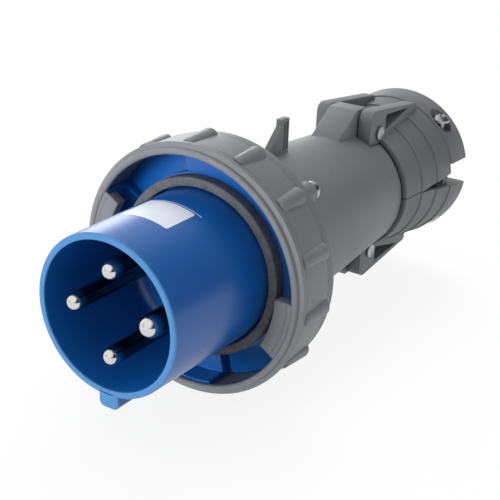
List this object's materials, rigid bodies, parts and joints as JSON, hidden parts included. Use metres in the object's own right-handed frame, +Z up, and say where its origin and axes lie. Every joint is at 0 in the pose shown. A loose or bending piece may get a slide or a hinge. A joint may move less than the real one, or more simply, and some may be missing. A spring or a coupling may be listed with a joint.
{
  "type": "industrial pin and sleeve plug",
  "caption": "Cable-end industrial plug with a blue contact sleeve, a gripped locking ring, a grey tapered body and a two-jaw cable clamp.",
  "frame": {"origin": "under the middle of the plug as it lies on its locking ring, on the surface it lies on", "axes": "+Y along the plug's axis from the sleeve to the cable clamp, +Z up, towards the hook on the body; +X is on the earth pin's side"},
  "size_m": [0.1196, 0.268, 0.1204],
  "materials": {
    "blue_plastic": "satin",
    "housing_plastic": "satin",
    "ring_plastic": "satin",
    "jaw_plastic": "matte",
    "black_plastic": "matte",
    "grey_rubber": "matte",
    "black_rubber": "matte",
    "nickel": "polished",
    "steel": "satin",
    "white_label": "satin"
  },
  "bodies": {
    "housing": {"front_housing": "blue_plastic", "face_gasket": "grey_rubber", "label": "white_label", "earth_pin": "nickel", "phase_pin_left": "nickel", "phase_pin_top": "nickel", "phase_pin_bottom": "nickel", "contact_carrier": "black_plastic", "terminal_divider": "black_plastic", "terminal_screws": "steel", "carrier_screw": "steel", "body_seal": "black_rubber", "rear_housing": "housing_plastic", "assembly_screws": "steel", "gland_washer": "black_plastic", "cable_grommet": "black_rubber", "upper_hinge_pin": "steel", "lower_hinge_pin": "steel"},
    "locking_ring": {"locking_ring": "ring_plastic"},
    "upper_jaw": {"upper_jaw": "jaw_plastic", "clamp_screw_right": "steel", "clamp_screw_left": "steel", "clamp_nuts": "steel"},
    "lower_jaw": {"lower_jaw": "jaw_plastic"}
  },
  "joints": [
    {"name": "locking_ring_turn", "type": "hinge", "parent": "housing", "child": "locking_ring", "pos_m": [0, 0, 0.0602], "axis": [0, 1, 0], "range_deg": [0, 45]},
    {"name": "upper_jaw_pivot", "type": "hinge", "parent": "housing", "child": "upper_jaw", "pos_m": [0, 0.0675, 0.0934], "axis": [1, 0, 0], "range_deg": [0, 2.5]},
    {"name": "lower_jaw_pivot", "type": "hinge", "parent": "housing", "child": "lower_jaw", "pos_m": [0, 0.0675, 0.027], "axis": [1, 0, 0], "range_deg": [-2.5, 0]}
  ]
}
